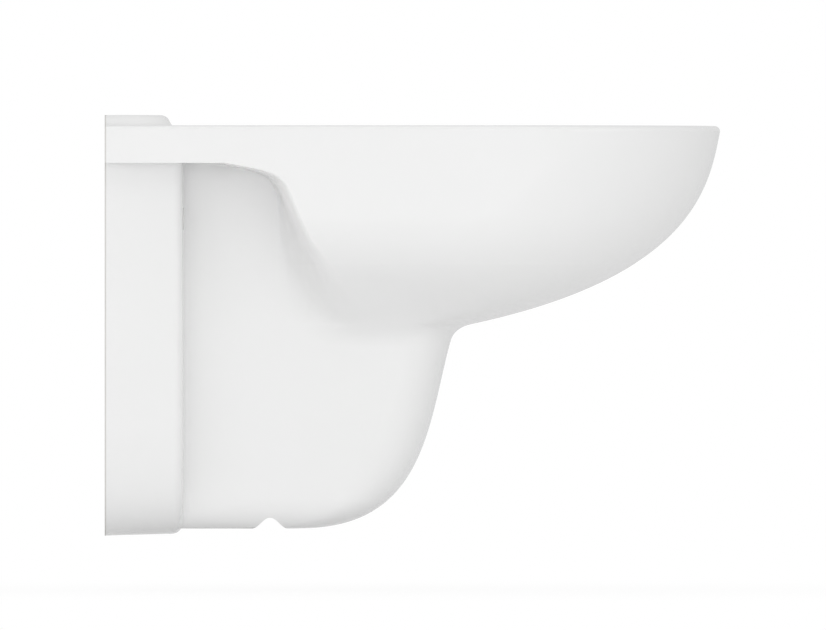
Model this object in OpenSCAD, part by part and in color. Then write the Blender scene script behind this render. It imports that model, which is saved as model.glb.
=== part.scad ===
// Wall hung toilet pan of glazed clay: a cast body with bowl, trap and wall flange,
// a cast rim and deck luted on top of it, and the sleeves and seals it is mounted with.
// X runs from the wall to the nose, Y across the pan, Z up.
// The origin is on the wall, midway between the two fixing holes.
// Outlines are written as [distance from the wall, depth below the rim].

/* [Overall] */
// Length from the wall to the tip of the nose
pan_l = 530; // [500:1:560]
// Width of the bowl and of the deck
pan_w = 360; // [340:1:380]
// Height of the rim above the fixing holes
rim_h = 80; // [72:1:90]
// Thickness of the fired clay
wall_t = 11; // [9:0.5:12.5]

/* [Rim and deck] */
// Height of the straight edge that the rim casting shows
deck_h = 32.2; // [29:0.2:36]
// Radius of the rim's outer top edge
rim_round = 4.6; // [2:0.2:7]
// Length of the rounded nose in plan, at the rim
nose_l = 185; // [165:1:205]
// Height of the raised ledge along the wall
ledge_h = 8.8; // [5:0.2:12]
// Depth of the raised ledge from the wall to its foot
ledge_d = 58; // [50:1:66]
// How far the foot of the ledge stays inside the deck's edge
ledge_inset = 7; // [5:0.5:12]
// Distance from the wall to the back of the bowl's mouth
mouth_back = 172; // [165:1:180]
// Width of the rim in front of the mouth
rim_front = 46; // [42:1:52]
// Width of the rim beside the mouth
rim_side = 55; // [50:1:62]
// Radius of the rim's inner top edge
mouth_round = 9; // [5:0.5:11]
// Thickness of the curtain that hangs round the mouth
curtain_t = 8; // [6:0.5:10]
// Depth of the curtain below the rim
curtain_h = 43; // [39:0.5:47]
// Thickness of the clay over the flush channel
roof_t = 10; // [8:0.5:12]
// Distance from the wall to the back of the flush channel
channel_back = 125; // [121:1:130]

/* [Bowl] */
// Depth of the upright part of the bowl's side
side_h = 78; // [66:1:90]
// Depth at which the bowl has drawn in to the neck
bowl_h = 188; // [182:1:196]
// Distance from the wall to the throat, where the bowl's underside meets the neck
throat_x = 316; // [306:1:326]
// Depth of the throat
throat_h = 170.5; // [166:0.5:175]
// Distance from the wall to the back edge of the bowl, at the deck
edge_x = 97; // [93:1:101]
// Distance from the wall to the root of the bowl's back, at the neck
root_x = 148; // [142:1:152]

/* [Neck and trap] */
// Width of the neck
neck_w = 136; // [126:1:146]
// Depth of the bottom of the neck
neck_h = 346.2; // [342:0.2:350]
// Distance from the wall to the front end of the neck's flat bottom
foot_x = 172; // [166:1:178]
// Length of the rounded front of the neck in plan
neck_nose = 48; // [40:1:56]
// Radius along the neck's bottom edges
neck_round = 25; // [15:1:32]
// Distance from the wall to the middle of the groove under the neck
groove_x = 142; // [136:1:148]
// Width of the groove at its mouth
groove_w = 30; // [24:1:36]
// Height of the groove
groove_h = 9.5; // [5:0.5:11]
// Depth of the water seal in the trap
seal_h = 50; // [44:1:54]

/* [Wall flange] */
// Width of the wall flange
flange_w = 220; // [214:1:230]
// Depth of the wall flange from the wall
flange_d = 66.9; // [60:0.1:72]
// Depth of the flange's bottom below the rim
flange_h = 352.6; // [350:0.2:358]
// Radius of the flange's front edge
flange_round = 9; // [5:0.5:12]
// Taper of the flange from the wall to its front
flange_draft = 1.6; // [0.5:0.1:2.5]
// Radius in the corner between the flange and the neck
flange_fillet = 6; // [3:0.5:9]
// Distance between the two fixing holes
fixing_gap = 180; // [176:1:184]
// Diameter of a fixing hole in the clay
fixing_hole = 15; // [14.5:0.5:17]

/* [Inlet and outlet] */
// Height of the flush inlet above the fixing holes
inlet_up = 35; // [32:1:37]
// Bore of the flush inlet
inlet_d = 55; // [50:0.5:57]
// Depth of the inlet bore
inlet_l = 42; // [36:1:46]
// Distance of the outlet below the fixing holes
outlet_down = 100; // [97:1:103]
// Outside diameter of the outlet spigot
outlet_d = 102; // [100:0.5:106]
// Bore of the outlet spigot
outlet_bore = 88; // [84:0.5:92]
// Gap between the wall and the ends of the spigot and the inlet boss
back_gap = 4; // [3:0.5:6]

/* [Seat fixing holes] */
// Distance between the two seat fixing holes
seat_gap = 155; // [150:1:160]
// Distance from the wall to the seat fixing holes
seat_x = 99; // [94:1:104]
// Diameter of a seat fixing hole
seat_hole = 15; // [12:0.5:17]

/* [Sleeves and seals] */
// Bore of a fixing sleeve
sleeve_bore = 12.6; // [12.4:0.1:13]
// Diameter of a fixing sleeve's collar
collar_d = 19; // [18:0.5:19]
// Thickness of a fixing sleeve's collar
collar_t = 1.2; // [0.8:0.1:2]
// Bore of the inlet seal, which grips the flush pipe
inlet_seal_bore = 44; // [42:0.5:46]
// Length of the inlet seal inside its bore
inlet_seal_l = 26; // [20:1:30]
// Thickness of the lip of the inlet seal
seal_lip = 3; // [2:0.5:3]
// Thickness of the outlet seal
outlet_seal_t = 3.5; // [2.5:0.5:5]
// Length of the outlet seal
outlet_seal_l = 24; // [18:1:28]
// Gap between a seal or sleeve and the clay that it sits on
fit_gap = 0.2; // [0.1:0.05:0.3]

/* [Hidden] */

glaze = "whitesmoke";
rubber = "dimgray";
plastic = "gainsboro";

half_w = pan_w / 2;
half_neck = neck_w / 2;
half_flange = flange_w / 2;
mouth_front = pan_l - rim_front;
mouth_half = half_w - rim_side;
fixing_h = rim_h;
inlet_h = rim_h - inlet_up;
outlet_h = rim_h + outlet_down;
inlet_wall = wall_t - 2;
boss_r = inlet_d / 2 + inlet_wall;
cut = 1;

// Curves and how they are read
function bez(p, t) = p[0] * pow(1 - t, 3) + 3 * p[1] * pow(1 - t, 2) * t
                   + 3 * p[2] * (1 - t) * t * t + p[3] * pow(t, 3);
function run(p, t) = (p[1] - p[0]) * pow(1 - t, 2) + 2 * (p[2] - p[1]) * (1 - t) * t
                   + (p[3] - p[2]) * t * t;
function beside(p, t, e) = let (v = run(p, t)) bez(p, t) + e * [-v.y, v.x] / norm(v);
function curve(p, n, e = 0) = [for (i = [0:n]) e == 0 ? bez(p, i / n) : beside(p, i / n, e)];
function by_depth(points) = [for (p = points) [p.y, p.x]];

// Outline of the front, from the nose down to the foot
nose_side = 50;
nose_drop = [-9, nose_side - rim_round];
sweep_share = 0.904;
bowl_sweep = [sweep_share * (pan_l - throat_x), -41.5];
throat_start = [-10, 2.1];
throat_end = [2.1, -8];
neck_start = [-18.3, 15];
neck_drop = [-19.1, 70.5];
foot_bend = 40;
foot_sweep = [throat_x - foot_x - foot_bend, -1.6];
throat = [throat_x, throat_h];
foot = [foot_x, neck_h];
nose_top = [pan_l, rim_round];
nose_curve = [nose_top, nose_top + nose_drop, throat + bowl_sweep, throat];
neck_top = throat + neck_start;
neck_curve = [neck_top, neck_top + neck_drop, foot + foot_sweep, foot];
throat_curve = [throat, throat + throat_start, neck_top + throat_end, neck_top];
front_table = by_depth(concat(curve(nose_curve, 16), curve(throat_curve, 4), curve(neck_curve, 14)));
inner_front_table = by_depth(concat(curve(nose_curve, 16, wall_t), curve(neck_curve, 14, wall_t)));
function front_x(d) = lookup(d, front_table);
function inner_front_x(d) = lookup(d, inner_front_table);

// Half width of the bowl's outside and inside
side_drop = [0, 60];
side_end = [0, -30];
side_top = [half_w, side_h];
side_bottom = [half_neck, bowl_h];
side_curve = [side_top, side_top + side_drop, side_bottom + side_end, side_bottom];
side_table = by_depth(curve(side_curve, 16));
inner_side_table = by_depth(curve(side_curve, 16, wall_t));
function side_w(d) = lookup(d, side_table);
function inner_side_w(d) = lookup(d, inner_side_table);
function fullness(d) = (side_w(d) - half_neck) / (half_w - half_neck);
function nose_length(d) = neck_nose + (nose_l - neck_nose) * fullness(d);
bowl_power = 2;
neck_power = 2.6;
function nose_power(d) = neck_power - (neck_power - bowl_power) * fullness(d);

// Back edge of the bowl where it leaves the deck and drops to the neck
edge_start = [71.7, 12];
edge_turn = [40.2, 9];
edge_drop = [85.4, 86.3];
edge_run = 126;
edge_top = [edge_x, deck_h];
edge_curve = [edge_top, edge_top + edge_start, edge_top + edge_turn, edge_top + edge_drop];
edge_table = concat(by_depth(curve(edge_curve, 12)), [[bowl_h, edge_x + edge_run]]);
function back_edge(d) = lookup(d, edge_table);

// Softness of that edge: crisp under the deck, wide where it runs out on the neck
crisp = 6;
blurred = 12;
blur_start = edge_curve[3].y - 20;
function softness(d) = lookup(d, [[blur_start, crisp], [bowl_h, blurred]]);

// Rounding of the neck's bottom edges
function bottom_inset(d) = let (s = max(0, d - neck_h + neck_round))
    neck_round - sqrt(max(0, neck_round * neck_round - s * s));

// How deep the neck runs into the flange, and how far its corner sharpens towards the bottom
neck_sunk = 5;
corner_fade = 0.9;

// Half rings, from the wall side to the middle of the nose
function nose_points(centre, front, w, power, n = 11) =
    [for (i = [0:n]) let (a = 90 - 90 * i / n)
        [centre + (front - centre) * pow(cos(a), 2 / power), w * pow(sin(a), 2 / power)]];
function body_half(d) =
    let (inset = bottom_inset(d), w = side_w(d) - inset, neck = half_neck - inset,
         front = front_x(d), middle = front - nose_length(d), soft = softness(d),
         edge = min(back_edge(d), middle - 2 * soft), root = min(edge - soft, root_x),
         step = [[root, neck], [edge, neck], [edge - soft, w], [edge + soft, w]],
         r = flange_fillet * (1 - corner_fade * inset / neck_round))
    concat([[flange_d - neck_sunk, neck + r]],
           [for (a = [180:30:270]) [flange_d + r * (1 + cos(a)), neck + r * (1 + sin(a))]],
           curve(step, 8),
           nose_points(middle, front, w, nose_power(d)));
function at_depth(half, d) = [for (p = half) [p.x, p.y, rim_h - d]];
function whole(half) = concat(half, [for (i = [len(half) - 2:-1:0]) [half[i].x, -half[i].y, half[i].z]]);

// A closed solid through rings of points that are alike left and right
function side_faces(rings, m, last) =
    [for (r = [0:last - 1], j = [0:m - 1]) let (k = (j + 1) % m, a = r * m, b = ((r + 1) % rings) * m)
        each [[a + j, b + k, a + k], [a + j, b + j, b + k]]];
function strip(m, base) = let (h = (m + 1) / 2)
    concat([for (i = [0:h - 3]) each [[base + i, base + i + 1, base + m - 2 - i],
                                      [base + i, base + m - 2 - i, base + m - 1 - i]]],
           [[base + h - 2, base + h - 1, base + h]]);
function turned(faces) = [for (f = faces) [f[2], f[1], f[0]]];
module loft(halves, flip = false) {
    rings = [for (h = halves) whole(h)];
    m = len(rings[0]);
    n = len(rings);
    faces = concat(strip(m, 0), side_faces(n, m, n - 1), turned(strip(m, (n - 1) * m)));
    polyhedron([for (r = rings) each r], flip ? turned(faces) : faces);
}
module hoop(halves) {
    rings = [for (h = halves) whole(h)];
    m = len(rings[0]);
    n = len(rings);
    polyhedron([for (r = rings) each r], turned(side_faces(n, m, n)));
}

// Outside of the bowl and the neck
function between(a, b, n) = [for (i = [1:n - 1]) a + (b - a) * i / n];
body_levels = concat([for (p = curve(edge_curve, 9)) p.y],
                     between(edge_curve[3].y, throat_h, 6),
                     [for (p = curve(throat_curve, 4)) p.y],
                     [for (i = [1:11]) bez(neck_curve, i / 11).y]);
module bowl_and_neck() {
    loft([for (d = body_levels) at_depth(body_half(d), d)]);
}

// Outside of the wall flange, straight at the top and a squarish round at the bottom
flange_turn = flange_h - half_flange;
flange_power = 3;
function round_foot(w) =
    [for (a = [0:6:90]) [w * pow(cos(a), 2 / flange_power), -flange_turn - w * pow(sin(a), 2 / flange_power)]];
function flange_half(x, inset) = let (w = half_flange - inset)
    concat([[x, w, rim_h - deck_h]], [for (p = round_foot(w)) [x, p.x, rim_h + p.y]]);
module flange_outside() {
    loft(concat([flange_half(0, 0)],
                [for (a = [0:22.5:90]) flange_half(flange_d - flange_round * (1 - sin(a)),
                                                   flange_draft + flange_round * (1 - cos(a)))]), true);
}

// Hollow of the wall flange and of the neck behind the bowl
module flange_hollow() {
    w = half_flange - flange_draft - wall_t;
    right = concat([[w, 0]], round_foot(w));
    translate([-cut, 0, rim_h]) rotate([90, 0, 90]) linear_extrude(flange_d - wall_t + cut)
        polygon(concat(right, [for (i = [len(right) - 2:-1:0]) [-right[i].x, right[i].y]]));
}
thicker = 4;
hollow_half = half_neck - wall_t - thicker;
hollow_round = 14;
module neck_hollow() {
    depth = neck_h - wall_t;
    translate([flange_d - wall_t - cut, 0, rim_h]) rotate([90, 0, 90]) linear_extrude(dip_x - flange_d) {
        translate([-hollow_half, hollow_round - depth]) square([2 * hollow_half, depth - hollow_round]);
        translate([hollow_round - hollow_half, -depth])
            square([2 * (hollow_half - hollow_round), depth]);
        for (side = [-1, 1]) translate([side * (hollow_half - hollow_round), hollow_round - depth])
            circle(hollow_round, $fn = 48);
    }
}

// The waterway: rings between its back wall and its front wall, from the rim to the outlet
weir_h = outlet_h + outlet_bore / 2;
dip_h = weir_h + seal_h;
dip_reach = 48;
dip_x = root_x + dip_reach;
dip_round = 20;
spigot_root = 15;
spigot_in = flange_d - spigot_root;
trap_lining = 3;
trap_half = hollow_half - trap_lining;
trap_wide = half_neck - wall_t;
spigot_way = outlet_bore / 2 - cut;
back_table = concat(by_depth(curve(edge_curve, 12, -wall_t)), [[dip_h - dip_round, dip_x + wall_t / 2]]);
function bowl_ring(d) =
    let (back = lookup(d, back_table), front = inner_front_x(d), middle = front_x(d) - nose_length(d))
    [[back, d], [front, d], (middle - back) / (front - back), inner_side_w(d), nose_power(d), 3];
function trap_ring(u, l, w, power) = [u, l, 0.5, w, power, power];
lip = [dip_x, dip_h];
bowl_depths = [42, 54, 68, 84, 100, 114, 126, 138, 150, 164, 182, 210, 240];
bowl_rings = [for (d = concat([deck_h - cut], bowl_depths)) bowl_ring(d)];
// Round the lip of the dip, up behind it, over the weir and down to the spigot.
// Each ring has its point at the lip's side, its point at the far side, its half width and its power.
trap_rings = [
    trap_ring(lip + [5.5, -10], beside(neck_curve, 0.42, wall_t), trap_wide, neck_power),
    trap_ring(lip + [4, -2.5], beside(neck_curve, 0.58, wall_t), trap_wide - 1, neck_power),
    trap_ring(lip, beside(neck_curve, 0.74, wall_t), trap_wide - 2, neck_power),
    trap_ring(lip + [-4, -2.5], beside(neck_curve, 0.88, wall_t), trap_wide - 3, neck_power),
    trap_ring(lip + [-6, -10], [foot_x - 2, neck_h - wall_t], trap_wide - 4, neck_power),
    trap_ring(lip + [-11, -28], [foot_x - 30, neck_h - 31], trap_half + 1, 2.5),
    trap_ring(lip + [-22, -54], [foot_x - 46, neck_h - 60], trap_half, 2.4),
    trap_ring(lip + [-42, -86], [foot_x - 58, weir_h + 30], trap_half, 2.3),
    trap_ring(lip + [-68, -116], [foot_x - 72, weir_h + 10], trap_half - 2, 2.2),
    trap_ring([(spigot_in + dip_x) / 2 - 24, outlet_h - outlet_bore / 2 + 4],
              [foot_x - 88, weir_h + 1.5], outlet_bore / 2 + 2, 2),
    trap_ring([spigot_in + 16, outlet_h - spigot_way], [spigot_in + 14, outlet_h + spigot_way], spigot_way, 2),
    trap_ring([spigot_in, outlet_h - spigot_way], [spigot_in, outlet_h + spigot_way], spigot_way, 2)];
ring_half = 15;
function way_half(s) =
    let (middle = s[0] + (s[1] - s[0]) * s[2])
    [for (k = [0:ring_half - 1])
        let (a = 180 * (1 - (k + 0.5) / (ring_half - 0.5)), ahead = a <= 90,
             power = ahead ? s[4] : s[5],
             p = ahead ? middle + (s[1] - middle) * pow(max(0, cos(a)), 2 / power)
                       : middle - (middle - s[0]) * pow(-cos(a), 2 / power))
        [p.x, s[3] * pow(sin(a), 2 / power), rim_h - p.y]];
function grown(s, e) = let (v = (s[1] - s[0]) / norm(s[1] - s[0]))
    [s[0] - e * v, s[1] + e * v, s[2], s[3] + e, s[4], s[5]];
module waterway() {
    loft([for (s = concat(bowl_rings, trap_rings)) way_half(s)]);
}
module waterway_wall() {
    loft([for (s = concat(bowl_rings, trap_rings)) way_half(grown(s, wall_t))]);
}

// Bores that run along X at a given height
module along_x(x1, x2, y, depth, r) {
    translate([x1, y, rim_h - depth]) rotate([0, 90, 0]) cylinder(h = x2 - x1, r = r, $fn = 64);
}

// Holes for the bolts of the seat, from a given depth up
seat_depth = 12;
module seat_holes(depth, h) {
    for (side = [-1, 1])
        translate([seat_x, side * seat_gap / 2, rim_h - depth]) cylinder(h = h, d = seat_hole, $fn = 64);
}

module groove() {
    steps = 6;
    lead = 0.6;
    below = 3;
    translate([groove_x, 0, rim_h]) rotate([90, 0, 0])
        linear_extrude(neck_w + 2 * cut, center = true)
            polygon(concat([for (i = [-steps:steps])
                               [i / steps * groove_w / 2,
                                -neck_h - lead + (groove_h + lead) * (1 + cos(180 * i / steps)) / 2]],
                           [[groove_w / 2, -neck_h - below], [-groove_w / 2, -neck_h - below]]));
}

module bowl_body() {
    boss_t = 10;
    bond = 6;
    color(glaze) difference() {
        union() {
            difference() {
                union() {
                    bowl_and_neck();
                    flange_outside();
                }
                flange_hollow();
                difference() {
                    neck_hollow();
                    waterway_wall();
                }
            }
            along_x(back_gap, spigot_in + bond, 0, outlet_h, outlet_d / 2);
            for (side = [-1, 1])
                along_x(0, flange_d - wall_t + cut, side * fixing_gap / 2, fixing_h, fixing_hole / 2 + boss_t);
        }
        waterway();
        along_x(-cut, spigot_in + cut, 0, outlet_h, outlet_bore / 2);
        for (side = [-1, 1])
            along_x(-cut, flange_d + cut, side * fixing_gap / 2, fixing_h, fixing_hole / 2);
        groove();
        seat_holes(deck_h + seat_depth, seat_depth + cut);
    }
}

// Outlines of the rim casting, all with the same number of points
mouth_middle = (mouth_back + mouth_front) / 2;
mouth_power = 2.2;
back_points = [30, 80, 130];
side_steps = 7;
nose_first = len(back_points) + side_steps;
function deck_half(front, w) =
    concat([for (y = back_points) [0, y * w / half_w]],
           [for (i = [0:side_steps - 1]) [i / side_steps * (pan_l - nose_l), w]],
           nose_points(pan_l - nose_l, front, w, bowl_power));
deck_rays = deck_half(pan_l, half_w);
function mouth_half_ring(grow) =
    let (a = mouth_middle - mouth_back + grow, b = mouth_half + grow)
    [for (p = deck_rays)
        let (v = p - [mouth_middle, 0],
             k = pow(pow(abs(v.x) / a, mouth_power) + pow(abs(v.y) / b, mouth_power), -1 / mouth_power))
        [mouth_middle + k * v.x, k * v.y]];
function channel_half(depth) =
    let (w = half_w - wall_t, front = front_x(depth) - wall_t)
    [for (i = [0:len(deck_rays) - 1]) let (p = deck_rays[i], v = p - [mouth_middle, 0])
        i >= nose_first ? nose_points(pan_l - nose_l, front, w, bowl_power)[i - nose_first]
                        : [mouth_middle, 0] + v * min((mouth_middle - channel_back) / -v.x, w / v.y)];

// Edge of the curtain, as [distance from the mouth's edge, height over the curtain's lowest point]
curtain_edge = [[1.5, 2], [3, 0], [curtain_t, 0], [curtain_t + 1, 3]];
rim_levels = [deck_h, 23, 13, rim_round];
module rim_ring() {
    hoop(concat(
        [for (d = rim_levels) at_depth(deck_half(front_x(d), half_w), d)],
        [for (a = [30:30:90]) let (e = rim_round * (1 - cos(a)))
            at_depth(deck_half(pan_l - e, half_w - e), rim_round * (1 - sin(a)))],
        [for (a = [0:30:90]) at_depth(mouth_half_ring(mouth_round * (1 - sin(a))), mouth_round * (1 - cos(a)))],
        [for (c = curtain_edge) at_depth(mouth_half_ring(c[0]), curtain_h - c[1])],
        [at_depth(mouth_half_ring(curtain_t + 1), roof_t)],
        [for (d = [roof_t, deck_h]) at_depth(channel_half(d), d)]));
}

module ledge() {
    w = half_w - ledge_inset;
    sunk = 5;
    lean = 12;
    corner = 24;
    bulge = 2;
    loft([for (s = [[0, sunk], for (a = [0:18:90]) [1 - cos(a), -ledge_h * sin(a)]])
             let (front = ledge_d - ledge_h * s[0], side = w - lean * max(0, -s[1]) / ledge_h)
             at_depth(concat([[0, side]],
                             [for (a = [90:-15:0])
                                 [front - bulge - corner * (1 - cos(a)), side - corner * (1 - sin(a))]],
                             [[front, 0]]), s[1])], true);
}

module flushing_rim() {
    duct_w = 80;
    duct_floor = 6;
    duct_h = deck_h - roof_t - duct_floor;
    boss_end = 10;
    rib = 4;
    seal_step = 5;
    pocket = half_flange - flange_draft - wall_t - boss_r - 2 * rib;
    color(glaze) difference() {
        union() {
            rim_ring();
            ledge();
            along_x(back_gap, back_gap + inlet_l + boss_end, 0, inlet_h, boss_r);
        }
        along_x(-cut, back_gap, 0, inlet_h, inlet_d / 2 + seal_step);
        along_x(-cut, back_gap + inlet_l, 0, inlet_h, inlet_d / 2);
        translate([back_gap + inlet_l - boss_end, -duct_w / 2, rim_h - roof_t - duct_h])
            cube([channel_back + cut - back_gap - inlet_l + boss_end, duct_w, duct_h]);
        seat_holes(deck_h + cut, deck_h + 2 * cut);
        for (side = [-1, 1])
            translate([wall_t, side * (boss_r + rib + pocket / 2) - pocket / 2, rim_h - deck_h - cut])
                cube([flange_d - 2 * wall_t - rib / 2, pocket, deck_h - roof_t - rib + cut]);
    }
}

module fixing_sleeve(side) {
    color(plastic) difference() {
        union() {
            along_x(0, flange_d + collar_t, side * fixing_gap / 2, fixing_h, fixing_hole / 2 - fit_gap);
            along_x(flange_d, flange_d + collar_t, side * fixing_gap / 2, fixing_h, collar_d / 2);
        }
        along_x(-cut, flange_d + collar_t + cut, side * fixing_gap / 2, fixing_h, sleeve_bore / 2);
    }
}
module fixing_sleeve_left() fixing_sleeve(-1);
module fixing_sleeve_right() fixing_sleeve(1);

module inlet_seal() {
    x1 = back_gap - seal_lip;
    x2 = back_gap + inlet_seal_l;
    overlap = 4;
    color(rubber) difference() {
        union() {
            along_x(x1, back_gap, 0, inlet_h, inlet_d / 2 + overlap);
            along_x(x1, x2, 0, inlet_h, inlet_d / 2 - fit_gap);
        }
        along_x(x1 - cut, x2 + cut, 0, inlet_h, inlet_seal_bore / 2);
    }
}

module outlet_seal() {
    setback = 2;
    x2 = spigot_in - setback;
    color(rubber) difference() {
        along_x(x2 - outlet_seal_l, x2, 0, outlet_h, outlet_d / 2 + fit_gap + outlet_seal_t);
        along_x(x2 - outlet_seal_l - cut, x2 + cut, 0, outlet_h, outlet_d / 2 + fit_gap);
    }
}

bowl_body();
flushing_rim();
fixing_sleeve_left();
fixing_sleeve_right();
inlet_seal();
outlet_seal();
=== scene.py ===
import bpy
import numpy as np
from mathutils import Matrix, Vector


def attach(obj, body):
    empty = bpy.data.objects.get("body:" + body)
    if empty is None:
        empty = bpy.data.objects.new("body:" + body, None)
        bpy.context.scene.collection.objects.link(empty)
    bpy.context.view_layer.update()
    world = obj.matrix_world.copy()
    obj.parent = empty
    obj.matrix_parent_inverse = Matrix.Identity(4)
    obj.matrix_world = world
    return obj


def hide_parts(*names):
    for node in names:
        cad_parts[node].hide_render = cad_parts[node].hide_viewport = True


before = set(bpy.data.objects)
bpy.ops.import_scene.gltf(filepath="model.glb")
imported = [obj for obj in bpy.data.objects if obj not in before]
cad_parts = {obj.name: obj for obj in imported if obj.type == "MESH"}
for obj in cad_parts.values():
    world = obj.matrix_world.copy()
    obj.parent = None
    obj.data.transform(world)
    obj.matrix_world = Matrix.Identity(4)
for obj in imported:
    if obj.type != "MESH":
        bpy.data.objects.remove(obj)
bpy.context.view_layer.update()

# The clay body
# Bowl, neck, trap and wall flange are one slip casting of vitreous china, 11 mm thick. It is cast upside
# down in plaster, trimmed, glazed white and fired.

# Sizes are in millimetres. A point of an outline is [distance from the wall, depth below the rim].
# The pan: its length, its half width, its rim above the fixing holes and its wall.
pan_l, half_w, rim_h, wall_t = 530.0, 180.0, 80.0, 11.0
# The deck's thickness, the radius of the rim's edge and the length of the rounded nose.
deck_h, rim_round, nose_l = 32.2, 4.6, 185.0
# The bowl's side is upright down to side_h and has drawn in to the neck at bowl_h. Its plan's rounded end
# is an ellipse, power 2, and the neck's is a little squarer.
side_h, bowl_h, bowl_power, neck_power = 78.0, 188.0, 2.0, 2.6
# The neck: half width, underside, length of its rounded front and radius of its lower edges.
half_neck, neck_h, neck_nose, neck_round = 68.0, 346.2, 48.0, 25.0
# The bowl's back edge grows out of the neck no farther back than root_x, and is softer lower down.
root_x, edge_soft, edge_soft_top, edge_blend = 148.0, [6.0, 24.0], 98.0, 6.0
# The wall flange, how far the body is sunk into it, and the share of the fillet between them that is lost
# round the neck's lower edge.
flange_d, flange_h, half_flange = 66.9, 352.6, 110.0
flange_round, flange_draft, flange_fillet, flange_sunk, fillet_loss = 9.0, 1.6, 6.0, 5.0, 0.9
fixing_half_gap, fixing_hole_r, fixing_boss_r = 90.0, 7.5, 17.5
seat_x, seat_half_gap, seat_hole_r, seat_hole_h = 99.0, 77.5, 7.5, deck_h + 12.0
# The outlet spigot ends short of the wall by back_gap.
outlet_h, outlet_r, outlet_bore_r, spigot_round, back_gap = 180.0, 51.0, 44.0, 2.5, 4.0
spigot_in = flange_d - 15.0
# The groove across the neck's underside, and how far its ends start below that face.
groove_x, groove_half, groove_h, groove_start = 142.0, 16.0, 9.5, 0.15
# How far a cutting solid reaches past the face that it opens.
over = 1.0

throat = np.array([316.0, 170.5])
neck_top = throat + [-18.3, 15.0]
foot = np.array([172.0, neck_h])
nose_curve = [[pan_l, rim_round], [pan_l - 9.0, 50.0],
              throat + [0.904 * (pan_l - throat[0]), -41.5], throat]
throat_curve = [throat, throat + [-10.0, 2.1], neck_top + [2.1, -8.0], neck_top]
neck_curve = [neck_top, neck_top + [-19.1, 70.5], foot + [104.0, -1.6], foot]
side_curve = [[half_w, side_h], [half_w, side_h + 60.0], [half_neck, bowl_h - 30.0], [half_neck, bowl_h]]
edge_curve = [[97.0, deck_h], [168.7, deck_h + 12.0], [137.2, deck_h + 9.0], [182.4, deck_h + 86.3]]
edge_end = [223.0, bowl_h]


def bezier(handles, t):
    """Cubic curve: the four handles weighted by (1-t)^3, 3(1-t)^2 t, 3(1-t) t^2 and t^3."""
    h, t = np.asarray(handles, float), np.asarray(t, float)[..., None]
    return h[0] * (1 - t) ** 3 + 3 * h[1] * (1 - t) ** 2 * t + 3 * h[2] * (1 - t) * t ** 2 + h[3] * t ** 3


def beside(handles, t, gap):
    """The same curve moved sideways: each point plus gap times the unit vector square to its run."""
    h, s = np.asarray(handles, float), np.asarray(t, float)[..., None]
    run = (h[1] - h[0]) * (1 - s) ** 2 + 2 * (h[2] - h[1]) * (1 - s) * s + (h[3] - h[2]) * s ** 2
    square = np.stack([-run[..., 1], run[..., 0]], -1) / np.linalg.norm(run, axis=-1, keepdims=True)
    return bezier(handles, t) + gap * square


def reader(*curves):
    """A function that gives the distance for a depth, straight between the points of the curves."""
    points = np.concatenate([np.atleast_2d(c) for c in curves])
    points = points[np.argsort(points[:, 1], kind="stable")]
    return lambda depth: np.interp(depth, points[:, 1], points[:, 0])


fine = np.linspace(0, 1, 300)
front_x = reader(*[bezier(c, fine) for c in (nose_curve, throat_curve, neck_curve)])
inner_front_x = reader(beside(nose_curve, fine, wall_t), beside(neck_curve, fine, wall_t))
side_w = reader(bezier(side_curve, fine))
inner_side_w = reader(beside(side_curve, fine, wall_t))
back_edge = reader(bezier(edge_curve, fine), edge_end)


def fullness(depth):
    """1 where the bowl has its full width, 0 where it has drawn in to the neck."""
    return (side_w(depth) - half_neck) / (half_w - half_neck)


def nose_length(depth):
    """Length of the rounded end of the plan: the neck's plus the rest times the fullness."""
    return neck_nose + (nose_l - neck_nose) * fullness(depth)


def nose_power(depth):
    """Power of the rounded end: the neck's plus the difference to the bowl's times the fullness."""
    return neck_power + (bowl_power - neck_power) * fullness(depth)


def quarter(r, n=12):
    """A quarter circle of radius r as n pairs, r (1 - cos a) and r (1 - sin a), from [0, r] to [r, 0]."""
    a = np.linspace(0, np.pi / 2, n)
    return np.stack([r * (1 - np.cos(a)), r * (1 - np.sin(a))], -1)


def rounded_end(middle, front, w, power, n):
    """Half a superellipse from (middle, w) to (front, 0): cos and sin of the angle to the power 2/power."""
    a = np.linspace(np.pi / 2, 0, n)[:, None]
    c, s = np.clip(np.cos(a), 0, 1), np.clip(np.sin(a), 0, 1)
    return np.stack([middle + (front - middle) * c ** (2 / power), w * s ** (2 / power)], -1)


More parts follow.
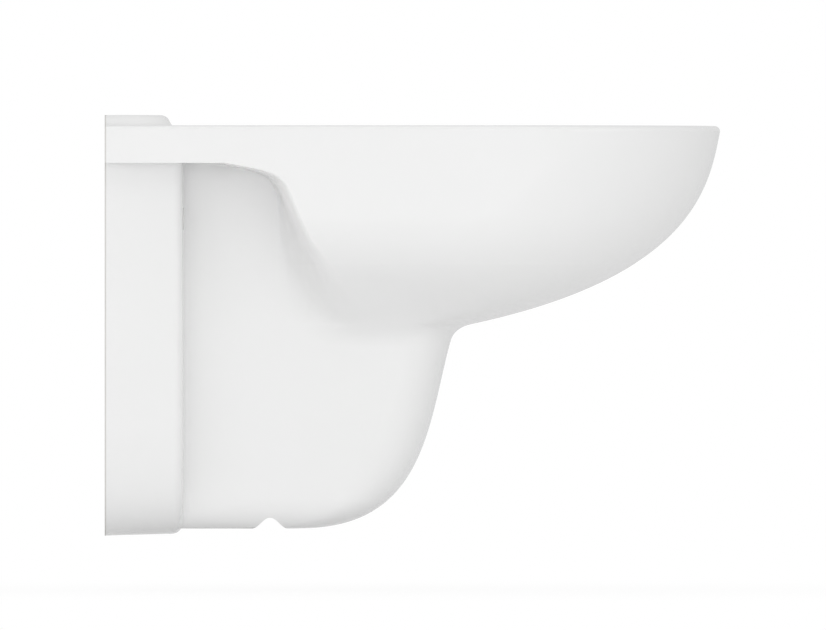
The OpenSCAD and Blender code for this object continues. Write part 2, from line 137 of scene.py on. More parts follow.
def body_halves(depth):
    """Half plans of bowl and neck, one per depth: the fillet in the flange's corner, an S curve from the
    neck out to the bowl's back edge, and the rounded nose. The edge is a soft minimum of two distances,
    half of a + b - sqrt((a - b)^2 + blend^2). Near the neck's underside a quarter circle draws all in."""
    sink = np.clip(depth - neck_h + neck_round, 0, neck_round)
    inset = neck_round - np.sqrt(neck_round ** 2 - sink ** 2)
    w, neck = side_w(depth) - inset, half_neck - inset
    front = front_x(depth)
    middle = front - nose_length(depth)
    soft = np.interp(depth, [edge_soft_top, bowl_h], edge_soft)
    free, limit = back_edge(depth), middle - 2 * soft
    edge = 0.5 * (free + limit - np.sqrt((free - limit) ** 2 + edge_blend ** 2))
    root = np.minimum(edge - soft, root_x)
    r = flange_fillet * (1 - fillet_loss * inset / neck_round)
    a = np.linspace(np.pi, 1.5 * np.pi, 14)[:, None]
    corner = np.stack([flange_d + r * (1 + np.cos(a)), neck + r * (1 + np.sin(a))], -1)
    tail = np.stack([np.full_like(neck, flange_d - flange_sunk), neck + r], -1)[None]
    handles = [np.stack(p, -1) for p in ((root, neck), (edge, neck), (edge - soft, w), (edge + soft, w))]
    step = bezier(handles, np.linspace(0, 1, 46)[:, None])
    nose = rounded_end(middle, front, w, nose_power(depth), 90)
    half = np.concatenate([tail, corner, step, nose[1:]])
    height = np.broadcast_to(rim_h - depth, half.shape[:2])[..., None]
    return np.concatenate([half, height], -1).transpose(1, 0, 2)


def whole(halves):
    """Rings from half rings: the half, then the same points mirrored in Y and back to the start."""
    return np.concatenate([halves, halves[:, -2::-1] * [1, -1, 1]], 1)


def make_object(name, points, faces):
    """A mesh object at the origin, from points in millimetres, with its faces turned outwards: they are
    flipped where the sum of the corner products a . (b x c), six times the volume, is negative."""
    mesh = bpy.data.meshes.new(name)
    mesh.from_pydata((np.asarray(points) / 1000).tolist(), [], faces)
    mesh.validate()
    places = np.zeros(len(mesh.vertices) * 3)
    mesh.vertices.foreach_get("co", places)
    mesh.calc_loop_triangles()
    corners = np.zeros(len(mesh.loop_triangles) * 3, int)
    mesh.loop_triangles.foreach_get("vertices", corners)
    a, b, c = places.reshape(-1, 3)[corners.reshape(-1, 3)].transpose(1, 0, 2)
    if np.einsum("ij,ij->", a, np.cross(b, c)) < 0:
        mesh.flip_normals()
    made = bpy.data.objects.new(name, mesh)
    bpy.context.scene.collection.objects.link(made)
    return made


def loft(name, rings, closed=False):
    """A solid through rings of points: squares from ring to ring, and a flat end face at each end.
    A closed loft joins its last ring to its first and has no end faces."""
    n, m = rings.shape[:2]
    r, j = np.meshgrid(np.arange(n if closed else n - 1), np.arange(m), indexing="ij")
    k, up = (j + 1) % m, (r + 1) % n
    sides = np.stack([r * m + j, r * m + k, up * m + k, up * m + j], -1).reshape(-1, 4).tolist()
    ends = [] if closed else [list(range(m))[::-1], list(range((n - 1) * m, n * m))]
    return make_object(name, rings.reshape(-1, 3), sides + ends)


def turned(name, profile, centre, along=0, bored=False, n=96):
    """A solid of revolution: each profile point [place, radius] is a circle of n points round the axis that
    runs along X (0) or Z (2) through centre. A bored one closes its profile on itself."""
    profile = np.asarray(profile, float)
    a = np.arange(n) * 2 * np.pi / n
    place, r = profile[:, :1] + 0 * a, profile[:, 1:]
    u, v = r * np.cos(a), r * np.sin(a)
    ring = np.stack([place, u, v] if along == 0 else [u, v, place], -1)
    return loft(name, ring + np.asarray(centre, float), closed=bored)


def bar(name, start, end, r, centre, along=0):
    """A plain round bar from start to end on its axis."""
    return turned(name, [[start, r], [end, r]], centre, along)


def block(name, low, high):
    """A box between two corners."""
    (x1, y1, z1), (x2, y2, z2) = low, high
    ring = np.array([[x1, y1, z1], [x2, y1, z1], [x2, y2, z1], [x1, y2, z1]], float)
    return loft(name, np.stack([ring, ring + [0, 0, z2 - z1]]))


def shape(base, *steps):
    """Adds or cuts the given solids from base in turn, and leaves base as one plain mesh."""
    for operation, other in steps:
        boolean = base.modifiers.new("shape", "BOOLEAN")
        boolean.operation, boolean.object, boolean.solver = operation, other, "MANIFOLD"
    bpy.context.view_layer.update()
    mesh = bpy.data.meshes.new_from_object(base.evaluated_get(bpy.context.evaluated_depsgraph_get()))
    base.modifiers.clear()
    base.data = mesh
    for _, other in steps:
        bpy.data.objects.remove(other)
    return base


def smooth(piece, degrees=34):
    """Soft shading over the whole piece, with edges sharper than the angle kept. Large faces set the
    shading of the points that they share with small ones, so that flat parts stay flat."""
    piece.data.polygons.foreach_set("use_smooth", np.ones(len(piece.data.polygons), bool))
    piece.data.set_sharp_from_angle(angle=np.radians(degrees))
    weighted = piece.modifiers.new("weighted", "WEIGHTED_NORMAL")
    weighted.keep_sharp = True
    return piece


body_depths = np.unique(np.round(np.concatenate([
    bezier(edge_curve, np.linspace(0, 1, 34))[:, 1],
    np.linspace(edge_curve[-1][1], throat[1], 40),
    bezier(throat_curve, np.linspace(0, 1, 9))[:, 1],
    bezier(neck_curve, np.linspace(0, 1, 60))[:, 1],
    neck_h - quarter(neck_round, 22)[:-1, 1]]), 3))
glazed_body = loft("glazed_body", whole(body_halves(body_depths)))


def round_foot(w):
    """Squarish half round of half width w, the flange's lower end: cos and sin to the power 2/3."""
    a = np.linspace(0, np.pi / 2, 72)
    c, s = np.clip(np.cos(a), 0, 1) ** (2 / 3), np.sin(a) ** (2 / 3)
    return w * c, rim_h - (flange_h - half_flange) - w * s


def flange_rings(x, inset):
    """Rings of the wall flange across X: straight up at the top, round at the bottom."""
    w = (half_flange - inset)[:, None]
    y, z = round_foot(w)
    y, z = np.concatenate([w, y], 1), np.concatenate([rim_h - deck_h + 0 * w, z], 1)
    return whole(np.stack([np.broadcast_to(x[:, None], y.shape), y, z], -1))


draft_x, draft_share = [0, 20, 40], np.array([0, 0.35, 0.7])
front_round = quarter(flange_round, 14)
flange = loft("flange", flange_rings(
    np.concatenate([draft_x, flange_d - front_round[:, 1]]),
    np.concatenate([flange_draft * draft_share, flange_draft + front_round[:, 0]])))


def hollow(name, x1, x2, y, z):
    """A straight hollow along X, open at the top, from its half outline and the mirrored one."""
    half_ring = np.stack([0 * y, y, z], -1)
    shared = 1 if y[-1] < 1e-6 else 0
    ring = np.concatenate([half_ring, (half_ring[::-1] * [1, -1, 1])[shared:]])
    return loft(name, np.stack([ring + [x1, 0, 0], ring + [x2, 0, 0]]))


inside_y, inside_z = round_foot(half_flange - flange_draft - wall_t)
flange_inside = hollow("flange_inside", -over, flange_d - wall_t,
                       np.concatenate([inside_y[:1], inside_y]), np.concatenate([[rim_h], inside_z]))

# The waterway is one loft of rings: from the rim down the bowl, under the dip of the trap, over its weir
# and out. A station is upper point, lower point, share of the widest place, half width and two powers.
# The dip hangs below the weir by the depth of the water seal.
weir_h, water_seal = outlet_h + outlet_bore_r, 50.0
dip = np.array([root_x + 48.0, weir_h + water_seal])
bowl_back = reader(beside(edge_curve, fine, -wall_t), dip + [wall_t / 2, -20])
neck_inside = beside(neck_curve, np.array([0.42, 0.58, 0.74, 0.88]), wall_t)
bowl_depths = np.array([28, 31.2, 42, 54, 68, 84, 100, 114, 126, 138, 150, 164, 182, 210, 240.0])


def bowl_stations(depth):
    """Level rings of the bowl's inside: back wall to front wall, widest where the rounded nose begins."""
    back, front = bowl_back(depth), inner_front_x(depth)
    middle = front_x(depth) - nose_length(depth)
    return np.stack([back, depth, front, depth, (middle - back) / (front - back),
                     inner_side_w(depth), nose_power(depth), 3 + 0 * depth], -1)


def trap_station(upper, lower, w, power):
    """One tilted ring of the trap, widest halfway between its two points."""
    return [[*upper, *lower, 0.5, w, power, power]]


stations = np.concatenate([
    bowl_stations(bowl_depths),
    trap_station(dip + [5.5, -10], neck_inside[0], 57, 2.6),
    trap_station(dip + [4, -2.5], neck_inside[1], 56, 2.6),
    trap_station(dip, neck_inside[2], 55, 2.6),
    trap_station(dip + [-4, -2.5], neck_inside[3], 54, 2.6),
    trap_station(dip + [-6, -10], foot + [-2, -wall_t], 53, 2.6),
    trap_station(dip + [-11, -28], foot + [-30, -31], 51, 2.5),
    trap_station(dip + [-22, -54], foot + [-46, -60], 50, 2.4),
    trap_station(dip + [-42, -86], [114, weir_h + 30], 50, 2.3),
    trap_station(dip + [-68, -116], [100, weir_h + 10], 48, 2.2),
    trap_station([100, outlet_h - 40], [84, weir_h + 1.5], 46, 2),
    trap_station([spigot_in + 16, outlet_h - 43], [spigot_in + 14, outlet_h + 43], 43, 2),
    trap_station([spigot_in, outlet_h - 43], [spigot_in, outlet_h + 43], 43, 2)])


def through(points, n):
    """A smooth run through the points: cubic pieces whose slopes are those of the points on either side,
    spaced by the square root of their distance."""
    gap = np.sqrt(np.linalg.norm(np.diff(points[:, :4], axis=0), axis=1))
    s = np.concatenate([[0], np.cumsum(gap)])
    slope = np.gradient(points, s, axis=0)
    t = np.linspace(0, s[-1], n)
    i = np.clip(np.searchsorted(s, t, side="right") - 1, 0, len(gap) - 1)
    h, q = gap[i][:, None], ((t - s[i]) / gap[i])[:, None]
    return (points[i] * (2 * q ** 3 - 3 * q ** 2 + 1) + slope[i] * h * (q ** 3 - 2 * q ** 2 + q)
            + points[i + 1] * (3 * q ** 2 - 2 * q ** 3) + slope[i + 1] * h * (q ** 3 - q ** 2))


def way_rings(run):
    """Rings of the waterway: cos and sin of the angle to the power 2/power, along each station's line and
    across it. The first power holds ahead of the widest place and the second one behind it."""
    n = 72
    a = (np.pi * (1 - (np.arange(n) + 0.5) / (n - 0.5)))[None]
    upper, lower, share = run[:, None, :2], run[:, None, 2:4], run[:, None, 4:5]
    ahead = a <= np.pi / 2
    power = np.where(ahead, run[:, 6:7], run[:, 7:8])
    c, s = np.abs(np.cos(a)) ** (2 / power), np.abs(np.sin(a)) ** (2 / power)
    middle, reach = upper + (lower - upper) * share, c[..., None]
    place = np.where(ahead[..., None], middle + (lower - middle) * reach, middle - (middle - upper) * reach)
    return whole(np.stack([place[..., 0], run[:, 5:6] * s, rim_h - place[..., 1]], -1))


way = through(stations, 190)
grow = way[:, 2:4] - way[:, :2]
grow *= wall_t / np.linalg.norm(grow, axis=1, keepdims=True)
way_wall = np.concatenate([way[:, :2] - grow, way[:, 2:4] + grow,
                           way[:, 4:5], way[:, 5:6] + wall_t, way[:, 6:]], 1)

# The neck is hollow behind the bowl, round the wall of the trap.
hollow_half, hollow_round = half_neck - wall_t - 4.0, quarter(14.0, 24)
hollow_back, hollow_front = spigot_in + 3.0, root_x + 36.0
behind_bowl = shape(hollow("behind_bowl", hollow_back, hollow_front,
                           np.concatenate([[hollow_half], hollow_half - hollow_round[:, 0]]),
                           np.concatenate([[rim_h], rim_h - neck_h + wall_t + hollow_round[:, 1]])),
                    ("DIFFERENCE", loft("trap_wall", way_rings(way_wall))))

outlet_axis = [0, 0, rim_h - outlet_h]
spigot_root, spigot_core = spigot_in + 6.0, outlet_bore_r - 4.0
spigot_end = [back_gap, outlet_r] + quarter(spigot_round, 7)[:, ::-1] * [1, -1]
spigot = turned("spigot", [[spigot_root, spigot_core], [spigot_root, outlet_r], *spigot_end,
                           [back_gap, spigot_core]], outlet_axis, bored=True)

# The groove's roof is one wave of a cosine, 1 + cos(pi t) for t from -1 to 1.
wave = np.linspace(-1, 1, 41)
groove_base, groove_below = rim_h - neck_h - groove_start, rim_h - neck_h - 4
groove_roof = np.stack([groove_x + groove_half * wave, 0 * wave,
                        groove_base + (groove_h + groove_start) * (1 + np.cos(np.pi * wave)) / 2], -1)
groove_low = [[groove_x + groove_half, 0, groove_below], [groove_x - groove_half, 0, groove_below]]
groove_ring = np.concatenate([groove_roof, groove_low])
groove_side = [0, half_neck + 2, 0]
groove = loft("groove", np.stack([groove_ring - groove_side, groove_ring + groove_side]))

steps = [("UNION", flange), ("DIFFERENCE", flange_inside), ("DIFFERENCE", behind_bowl), ("UNION", spigot)]
for side in (-1, 1):
    steps += [("UNION", bar("fixing_boss", 0, flange_d - wall_t + over, fixing_boss_r,
                            [0, side * fixing_half_gap, 0]))]
steps += [("DIFFERENCE", loft("waterway", way_rings(way))),
          ("DIFFERENCE", bar("outlet_bore", -over, spigot_in + over, outlet_bore_r, outlet_axis)),
          ("DIFFERENCE", groove)]
for side in (-1, 1):
    steps += [("DIFFERENCE", bar("fixing_hole", -over, flange_d + over, fixing_hole_r,
                                 [0, side * fixing_half_gap, 0])),
              ("DIFFERENCE", bar("seat_hole", rim_h - seat_hole_h, rim_h - deck_h + over, seat_hole_r,
                                 [seat_x, side * seat_half_gap, 0], along=2))]
smooth(shape(glazed_body, *steps))


def feed(tree, made, inputs):
    """Links each named input of a node to an output, or sets it to a plain value."""
    for key, source in inputs.items():
        if isinstance(source, bpy.types.NodeSocket):
            tree.links.new(source, made.inputs[key])
        else:
            made.inputs[key].default_value = source


def new_node(tree, kind, inputs, **settings):
    """A new node with its settings, whose inputs are linked to outputs or set to plain values."""
    made = tree.nodes.new(kind)
    for setting, value in settings.items():
        setattr(made, setting, value)
    feed(tree, made, inputs)
    return made


def noise(tree, scale, detail):
    """The value of a noise texture on Object coordinates, with its scale per metre."""
    place = new_node(tree, "ShaderNodeTexCoord", {})
    cloud = new_node(tree, "ShaderNodeTexNoise", {"Vector": place.outputs["Object"],
                                                  "Scale": scale, "Detail": detail})
    return cloud.outputs["Fac"]


def spread(tree, value, start, end, low, high):
    """A value that runs from low to high while the given one goes from start to end."""
    made = new_node(tree, "ShaderNodeMapRange", {"Value": value, "From Min": start, "From Max": end,
                                                 "To Min": low, "To Max": high})
    return made.outputs["Result"]


def mixed(tree, kind, share, a, b):
    """Two colours ("RGBA") or two values ("FLOAT"), mixed by a share from 0 to 1."""
    made = new_node(tree, "ShaderNodeMix", {"Factor": share, "A": a, "B": b}, data_type=kind)
    return made.outputs["Result"]


def glaze(name):
    """White glaze on fired clay: glossy, with a faint orange peel and soft changes of tone and gloss. The
    flat back that stands on the wall is bare, matt clay. Its darker colour fades into the glaze 0.4 to 1.6
    mm from the wall, which paints a thin line of painted shade along the back edge of the sides."""
    # The clay colour is the bare back's own and also the thin line of painted shade along the back edge.
    white, cloudy, clay_and_edge_shade = (0.9, 0.9, 0.9, 1), (0.8928, 0.8955, 0.891, 1), (0.6, 0.59, 0.565, 1)
    tone_scale, gloss_scale, peel_scale, noise_range = 9, 14, 160, (0.3, 0.7)
    gloss_range, bare_roughness = (0.1, 0.16), 0.75
    peel_strength, peel_depth = 0.06, 0.0004
    glazed_from, bare_from = 0.0016, 0.0004
    mat = bpy.data.materials.new(name)
    mat.use_nodes = True
    tree = mat.node_tree
    place = new_node(tree, "ShaderNodeTexCoord", {})
    xyz = new_node(tree, "ShaderNodeSeparateXYZ", {"Vector": place.outputs["Object"]})
    # Painted shade: the clay colour reaches up to 1.6 mm from the wall, a thin dark line along the back
    # edge.
    clay_and_edge_shade_mask = spread(tree, xyz.outputs["X"], glazed_from, bare_from, 0, 1)
    tones = mixed(tree, "RGBA", spread(tree, noise(tree, tone_scale, 3), *noise_range, 0, 1), cloudy, white)
    gloss = spread(tree, noise(tree, gloss_scale, 2), *noise_range, *gloss_range)
    peel = new_node(tree, "ShaderNodeBump", {"Strength": peel_strength, "Distance": peel_depth,
                                             "Height": noise(tree, peel_scale, 2)})
    feed(tree, tree.nodes["Principled BSDF"], {
        "Base Color": mixed(tree, "RGBA", clay_and_edge_shade_mask, tones, clay_and_edge_shade),
        "Roughness": mixed(tree, "FLOAT", clay_and_edge_shade_mask, gloss, bare_roughness),
        "Normal": peel.outputs["Normal"], "IOR": 1.5})
    return mat


white_glaze = glaze("white_glaze")
glazed_body.data.materials.clear()
glazed_body.data.materials.append(white_glaze)
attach(glazed_body, "root")
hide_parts("bowl_body")

# The flushing rim
# The rim and the deck are a second casting in the same clay. The flush channel runs round inside
# the rim behind a hanging curtain. It is stuck on the bowl with slip while wet, and fired with it.

# The bowl's mouth is an ellipse of a power slightly over 2, with a rounded edge.
mouth_back, mouth_front, mouth_half, mouth_round, mouth_power = 172.0, pan_l - 46.0, half_w - 55.0, 9.0, 2.2
mouth_middle = (mouth_back + mouth_front) / 2
# The curtain: its inner face leans out by its draft, its outer face lies curtain_out from the mouth, and
# both edges of its end are rounded.
curtain_h, curtain_draft, curtain_out, curtain_round = 43.0, 0.8, 9.0, 3.6
curtain_straight = curtain_h - 5.0
roof_t, channel_back = 10.0, 125.0
# The ledge, the lean of its two ends and its front, and the corners and bow of its plan.
ledge_h, ledge_d, ledge_side = 8.8, 58.0, half_w - 7.0
side_lean, front_lean, ledge_corner, ledge_bow = 12.0, 4.5, 24.0, 2.0
foot_r, top_r, ledge_sunk = 2.4, 3.0, 5.0
inlet_h, inlet_r, inlet_l, inlet_round = rim_h - 35.0, 27.5, 42.0, 3.0
inlet_boss_r = inlet_r + wall_t - 2
# The duct from the inlet to the channel, and the two pockets over the flange, with a web of clay on
# either side of each.
duct_half, duct_lap, duct_floor = 40.0, 10.0, 6.0
pocket_web, pocket_front, pocket_roof = 4.0, flange_d - wall_t - 2.0, roof_t + 4.0
seat_hole_round = 1.5
# Numbers of points along the deck's plan, and the share of its half width where the first one stands.
across_n, along_n, nose_n, first_share = 18, 40, 110, 0.04


def deck_half(front, w):
    """Half plan of the deck: along the wall, along the straight side, and round the nose."""
    across = np.linspace(first_share, 1, across_n)[:, None] * [0, w]
    along = np.linspace(0, 1, along_n)[1:-1, None] * [front - nose_l, 0] + [0, w]
    return np.concatenate([across, along, rounded_end(front - nose_l, front, w, bowl_power, nose_n)[:, 0]])


deck_rays = deck_half(pan_l, half_w) - [mouth_middle, 0]
straight_n = across_n + along_n - 2


def mouth_ring(grow):
    """Half outline of the bowl's mouth, |x/a|^p + |y/b|^p = 1, met by the deck's rays from its middle."""
    a, b = mouth_middle - mouth_back + grow, mouth_half + grow
    reach = np.abs(deck_rays[:, :1] / a) ** mouth_power + np.abs(deck_rays[:, 1:] / b) ** mouth_power
    return deck_rays * reach ** (-1 / mouth_power) + [mouth_middle, 0]


def channel_ring(depth):
    """Half outline of the flush channel: out to the wall's inner face, back to its straight rear end."""
    w = half_w - wall_t
    rays = deck_rays[:straight_n]
    reach = np.minimum((mouth_middle - channel_back) / np.maximum(-rays[:, 0], 1e-6), w / rays[:, 1])
    nose = rounded_end(pan_l - nose_l, front_x(depth) - wall_t, w, bowl_power, nose_n)[:, 0]
    return np.concatenate([rays * reach[:, None] + [mouth_middle, 0], nose])


def level(half, depth):
    """A half outline as points at a depth below the rim."""
    return np.concatenate([half, np.full((len(half), 1), rim_h - depth)], 1)


curtain_end = quarter(curtain_round)
rim_rings = [level(deck_half(front_x(d), half_w), d) for d in np.linspace(deck_h, rim_round, 10)]
rim_rings += [level(deck_half(pan_l - s, half_w - s), d) for s, d in quarter(rim_round)[1:]]
rim_rings += [level(mouth_ring(s), d) for d, s in quarter(mouth_round)]
rim_rings += [level(mouth_ring(curtain_draft * q), mouth_round + (curtain_straight - mouth_round) * q)
              for q in (0.25, 0.5, 0.75, 1)]
rim_rings += [level(mouth_ring(curtain_draft + s), curtain_h - d) for s, d in curtain_end[2:]]
rim_rings += [level(mouth_ring(curtain_out - s), curtain_h - d) for s, d in curtain_end[::-1][1:]]
rim_rings += [level(mouth_ring(curtain_out), roof_t), level(channel_ring(roof_t), roof_t),
              level(channel_ring(deck_h), deck_h)]
glazed_rim = loft("glazed_rim", whole(np.stack(rim_rings)), closed=True)


def ledge_ring(inward, height):
    """The ledge's outline, drawn in from its foot. Its front and its ends lean in with the height."""
    rise = max(0.0, height) / ledge_h
    side, front = ledge_side - inward - side_lean * rise, ledge_d - inward - front_lean * rise
    b = np.linspace(np.pi / 2, 0, 26)
    corner = np.stack([front - ledge_bow - ledge_corner * (1 - np.cos(b)),
                       side - ledge_corner * (1 - np.sin(b))], -1)
    return level(np.concatenate([[[0, side]], corner, [[front, 0]]]), -height)


ledge_rings = [ledge_ring(-foot_r, -ledge_sunk)]
ledge_rings += [ledge_ring(-s, d) for d, s in quarter(foot_r)]
ledge_rings += [ledge_ring(s, ledge_h - d) for s, d in quarter(top_r)]
ledge = loft("ledge", whole(np.stack(ledge_rings)))

inlet_axis, inlet_end = [0, 0, rim_h - inlet_h], back_gap + inlet_l
boss_end = [back_gap, inlet_boss_r] + quarter(inlet_round)[::-1, ::-1] * [1, -1]
inlet_boss = turned("inlet_boss", [*boss_end, [inlet_end + duct_lap, inlet_boss_r]], inlet_axis)
steps = [("UNION", ledge), ("UNION", inlet_boss),
         ("DIFFERENCE", bar("inlet_bore", -over, inlet_end, inlet_r, inlet_axis)),
         ("DIFFERENCE", block("inlet_duct", [inlet_end - duct_lap, -duct_half, rim_h - deck_h + duct_floor],
                              [channel_back + over, duct_half, rim_h - roof_t]))]
pocket_w = half_flange - flange_draft - wall_t - inlet_boss_r - 2 * pocket_web
seat_edge = [rim_h, seat_hole_r] + quarter(seat_hole_round)[1:, ::-1] * [-1, 1]
for side in (-1, 1):
    middle = side * (inlet_boss_r + pocket_web + pocket_w / 2)
    steps += [("DIFFERENCE", block("pocket", [wall_t, middle - pocket_w / 2, rim_h - deck_h - over],
                                   [pocket_front, middle + pocket_w / 2, rim_h - pocket_roof])),
              ("DIFFERENCE", turned("seat_hole", [[rim_h - deck_h - over, seat_hole_r],
                                                  [rim_h - seat_hole_round, seat_hole_r], *seat_edge,
                                                  [rim_h + over, seat_hole_r + seat_hole_round]],
                                    [seat_x, side * seat_half_gap, 0], along=2))]
smooth(shape(glazed_rim, *steps))
glazed_rim.data.materials.clear()
glazed_rim.data.materials.append(white_glaze)
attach(glazed_rim, "root")
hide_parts("flushing_rim")

# The fixing sleeves
# A moulded plastic sleeve lines each stud hole, so that the steel stud can't chip the clay. It is
# pushed in from the front, and its thin collar lies on the flange under the nut's washer.

sleeve_r, sleeve_bore_r, sleeve_edge = 7.3, 6.3, 0.3
collar_r, collar_t, collar_edge, collar_mouth = 9.5, 1.2, 0.4, 0.1
sleeve_end = flange_d + collar_t
sleeve_profile = [
    [sleeve_edge, sleeve_r], [0, sleeve_r - sleeve_edge], [0, sleeve_bore_r + sleeve_edge],
    [sleeve_edge, sleeve_bore_r], [sleeve_end - collar_mouth, sleeve_bore_r],
    [sleeve_end, sleeve_bore_r + 2 * collar_mouth], [sleeve_end, collar_r - collar_edge],
    [sleeve_end - collar_edge, collar_r], [flange_d, collar_r], [flange_d, sleeve_r]]


def moulded_group():
    """The look of a moulding, shared by plastic and rubber: one cloud of noise darkens the colour to no
    less than 0.86 of itself and takes the roughness 0.06 up or down, and a fine grain dents the surface."""
    darkest, uneven, grain_depth = 0.86, 0.06, 0.0002
    cloud_scale, grain_scale = 60, 2500
    tree = bpy.data.node_groups.new("moulded", "ShaderNodeTree")
    for side, name, kind in (("INPUT", "Colour", "Color"), ("INPUT", "Roughness", "Float"),
                             ("INPUT", "Grain", "Float"), ("OUTPUT", "Colour", "Color"),
                             ("OUTPUT", "Roughness", "Float"), ("OUTPUT", "Normal", "Vector")):
        tree.interface.new_socket(name, in_out=side, socket_type="NodeSocket" + kind)
    given = new_node(tree, "NodeGroupInput", {})
    cloud = noise(tree, cloud_scale, 2)
    shade = spread(tree, cloud, 0, 1, darkest, 1)
    change = spread(tree, cloud, 0, 1, -uneven, uneven)
    colour = new_node(tree, "ShaderNodeMix", {"Factor": 1.0, "A": given.outputs["Colour"], "B": shade},
                      data_type="RGBA", blend_type="MULTIPLY")
    rough = new_node(tree, "ShaderNodeMath", {0: given.outputs["Roughness"], 1: change}, operation="ADD")
    dents = new_node(tree, "ShaderNodeBump", {"Strength": given.outputs["Grain"], "Distance": grain_depth,
                                              "Height": noise(tree, grain_scale, 2)})
    new_node(tree, "NodeGroupOutput", {"Colour": colour.outputs["Result"], "Roughness": rough.outputs[0],
                                       "Normal": dents.outputs["Normal"]})
    return tree


moulded = moulded_group()


def moulded_material(name, colour, roughness, grain):
    """Moulded plastic or rubber in one colour, with its own roughness and strength of grain."""
    mat = bpy.data.materials.new(name)
    mat.use_nodes = True
    tree = mat.node_tree
    look = new_node(tree, "ShaderNodeGroup", {"Colour": (*colour, 1), "Roughness": roughness,
                                              "Grain": grain}, node_tree=moulded)
    feed(tree, tree.nodes["Principled BSDF"], {
        "Base Color": look.outputs["Colour"], "Roughness": look.outputs["Roughness"],
        "Normal": look.outputs["Normal"]})
    return mat


sleeve_plastic = moulded_material("sleeve_plastic", (0.8, 0.8, 0.79), 0.42, 0.15)
for side, word in ((-1, "left"), (1, "right")):
    sleeve = turned("sleeve_" + word, sleeve_profile, [0, side * fixing_half_gap, 0], bored=True)
    smooth(sleeve, 25)
    sleeve.data.materials.append(sleeve_plastic)
    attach(sleeve, "root")
    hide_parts("fixing_sleeve_" + word)

# The rubber seals
# Two moulded rubber rings. The inlet seal sits in the flush inlet and grips the flush pipe with its
# lips. The outlet seal is stretched on the spigot, and its ribs press into the outlet connector.

outlet_seal_x, outlet_seal_l, outlet_seal_r, outlet_seal_in, seal_edge = 25.9, 24.0, 54.7, 51.2, 0.4
inlet_seal_x, inlet_seal_end, inlet_seal_r, inlet_seal_in, lip_l = 1.0, 30.0, 27.3, 22.0, 28.4
inlet_collar_x, inlet_collar_r, inlet_collar_edge = 4.0, 31.5, 0.8
rib_deep, lip_deep = 1.1, 1.2
rib = np.linspace(0, 1, 49)


def valleys(count):
    """Depth of the valleys between ribs, 0 to 1: half of 1 - cos(2 pi count t), to the power 0.7, where t
    runs along the ribs from 0 to 1."""
    return (0.5 - 0.5 * np.cos(2 * count * np.pi * rib)) ** 0.7


ribs = np.stack([outlet_seal_x + outlet_seal_l * rib, outlet_seal_r - rib_deep * valleys(3)], -1)
outlet_far = outlet_seal_x + outlet_seal_l
outlet_seal = turned("seal_outlet", [
    *ribs, [outlet_far, outlet_seal_in + seal_edge], [outlet_far - seal_edge, outlet_seal_in],
    [outlet_seal_x + seal_edge, outlet_seal_in], [outlet_seal_x, outlet_seal_in + seal_edge]],
    outlet_axis, bored=True, n=128)

lips = np.stack([inlet_seal_end - lip_l * rib, inlet_seal_in + lip_deep * valleys(4)], -1)
inlet_seal = turned("seal_inlet", [
    *lips, [inlet_seal_x, inlet_seal_in + 0.6], [inlet_seal_x, inlet_collar_r - inlet_collar_edge],
    [inlet_seal_x + inlet_collar_edge, inlet_collar_r], [inlet_collar_x, inlet_collar_r],
    [inlet_collar_x, inlet_seal_r], [inlet_seal_end - seal_edge, inlet_seal_r],
    [inlet_seal_end, inlet_seal_r - seal_edge]], inlet_axis, bored=True, n=128)

seal_rubber = moulded_material("seal_rubber", (0.035, 0.035, 0.037), 0.62, 0.3)
for seal, node in ((outlet_seal, "outlet_seal"), (inlet_seal, "inlet_seal")):
    smooth(seal, 28)
    seal.data.materials.append(seal_rubber)
    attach(seal, "root")
    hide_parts(node)

# The floor
# A plain pale floor, 400 mm below the rim, as in a bathroom. It looks nearly white to the camera, and
# near the pan it keeps a small share of the shadow that the pan throws on it.

floor_z, floor_half = (rim_h - 400.0) / 1000, 30.0
shadow_near, shadow_far, white_near = 0.1, 0.8, 0.93
under_pan = (0.26, 0, floor_z)
floor_mesh = bpy.data.meshes.new("floor")
corners = [(x * floor_half, y * floor_half, floor_z) for x, y in ((-1, -1), (1, -1), (1, 1), (-1, 1))]
floor_mesh.from_pydata(corners, [], [(0, 1, 2, 3)])
floor = bpy.data.objects.new("floor", floor_mesh)
bpy.context.scene.collection.objects.link(floor)
floor_paint = bpy.data.materials.new("floor_paint")
floor_paint.use_nodes = True
tree = floor_paint.node_tree
matt = tree.nodes["Principled BSDF"]
feed(tree, matt, {"Base Color": (0.96, 0.96, 0.96, 1), "Roughness": 0.9, "Specular IOR Level": 0.1})
pale = new_node(tree, "ShaderNodeEmission", {"Color": (1, 1, 1, 1)})
spot = new_node(tree, "ShaderNodeTexCoord", {})
away = new_node(tree, "ShaderNodeVectorMath", {0: spot.outputs["Object"], 1: under_pan},
                operation="DISTANCE")
fade = new_node(tree, "ShaderNodeMapRange", {"Value": away.outputs["Value"], "From Min": shadow_near,
                                             "From Max": shadow_far, "To Min": white_near, "To Max": 1.0},
                interpolation_type="SMOOTHSTEP")
ray = new_node(tree, "ShaderNodeLightPath", {})
seen = new_node(tree, "ShaderNodeMath", {0: ray.outputs["Is Camera Ray"],
                                         1: ray.outputs["Is Transmission Ray"]}, operation="MAXIMUM")
share = new_node(tree, "ShaderNodeMath", {0: seen.outputs[0], 1: fade.outputs["Result"]},
                 operation="MULTIPLY")
blend = new_node(tree, "ShaderNodeMixShader", {"Fac": share.outputs[0],
                                               1: matt.outputs[0], 2: pale.outputs[0]})
feed(tree, tree.nodes["Material Output"], {"Surface": blend.outputs[0]})
floor.data.materials.append(floor_paint)

# The light
# A soft studio: an even white sky, a large lamp and a low wide one in front, a lamp at each side and a
# narrow one above. The glaze mirrors neither lamp in front. The camera sees plain white behind the pan.

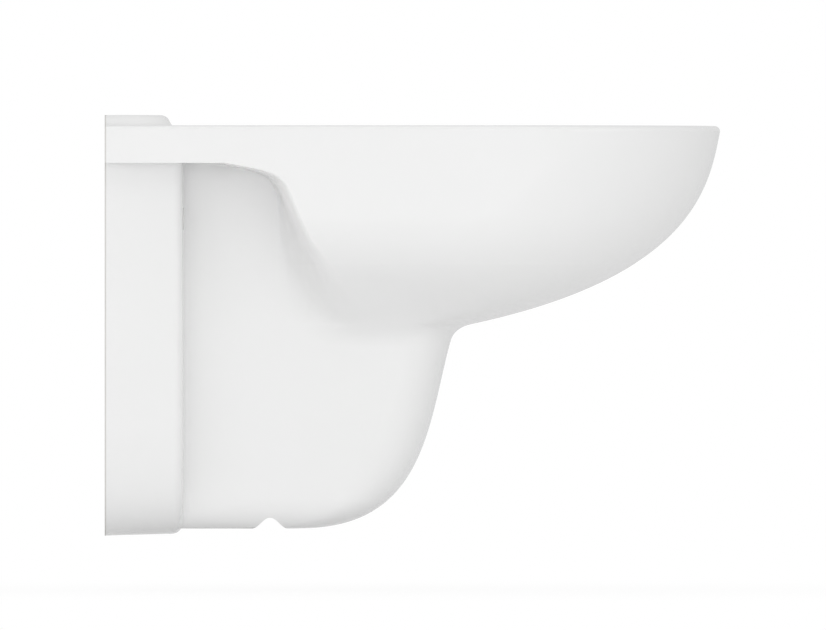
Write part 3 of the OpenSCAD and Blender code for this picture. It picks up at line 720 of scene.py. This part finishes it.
sky_strength, mirrored_share = 0.7, 0.12
world = bpy.data.worlds.new("studio")
bpy.context.scene.world = world
world.use_nodes = True
tree = world.node_tree
tree.nodes.clear()
ray = new_node(tree, "ShaderNodeLightPath", {})
mirrored = new_node(tree, "ShaderNodeMath", {0: ray.outputs["Is Glossy Ray"], 1: mirrored_share},
                    operation="MULTIPLY")
seen = new_node(tree, "ShaderNodeMath", {0: ray.outputs["Is Camera Ray"], 1: mirrored.outputs[0]},
                operation="MAXIMUM")
sky = new_node(tree, "ShaderNodeBackground", {"Color": (1, 1, 1, 1), "Strength": sky_strength})
white = new_node(tree, "ShaderNodeBackground", {"Color": (1, 1, 1, 1), "Strength": 1.0})
blend = new_node(tree, "ShaderNodeMixShader", {"Fac": seen.outputs[0],
                                               1: sky.outputs[0], 2: white.outputs[0]})
new_node(tree, "ShaderNodeOutputWorld", {"Surface": blend.outputs[0]})


def soft_lamp(name, place, target, size, watts):
    """An oblong area lamp, size wide and high, at a place and turned to a target."""
    data = bpy.data.lights.new(name, "AREA")
    data.shape, data.energy = "RECTANGLE", watts
    data.size, data.size_y = size
    lamp = bpy.data.objects.new(name, data)
    bpy.context.scene.collection.objects.link(lamp)
    lamp.location = place
    lamp.rotation_euler = (Vector(target) - Vector(place)).to_track_quat("-Z", "Y").to_euler()
    return lamp


front_lamp = soft_lamp("front_lamp", (-0.2, -7.0, 0.45), (0.26, 0, -0.08), (6.6, 6.6), 34)
soft_lamp("left_lamp", (-4.6, -5.0, 0.3), (0.1, -0.07, -0.05), (3.2, 3.2), 30)
soft_lamp("right_lamp", (5.2, -4.4, 0.3), (0.4, -0.07, -0.05), (3.2, 3.2), 26)
low_lamp = soft_lamp("low_lamp", (0.2, -3.6, 0.0), (0.26, 0, -0.08), (4.0, 0.6), 20)
soft_lamp("top_lamp", (0.35, -0.7, 3.0), (0.3, 0, 0), (2.6, 0.4), 5.5)
front_lamp.visible_glossy = low_lamp.visible_glossy = False

# The camera
# Far away with a long lens, so that near and far edges almost line up as in a drawing. It
# stands in the plane of the wall, which is seen edge on, and looks at the middle of the pan.

view_w, distance, sensor_w = 0.7114, 24.0, 36.0
pan_middle = Vector((0.2655, 0, -0.0827))
lens = bpy.data.cameras.new("camera")
lens.sensor_width, lens.lens = sensor_w, sensor_w * distance / view_w
camera = bpy.data.objects.new("camera", lens)
bpy.context.scene.collection.objects.link(camera)
camera.location = (0.0, -distance, -0.02)
camera.rotation_euler = (pan_middle - camera.location).to_track_quat("-Z", "Y").to_euler()
bpy.context.scene.camera = camera
bpy.context.scene.view_settings.view_transform = "Standard"
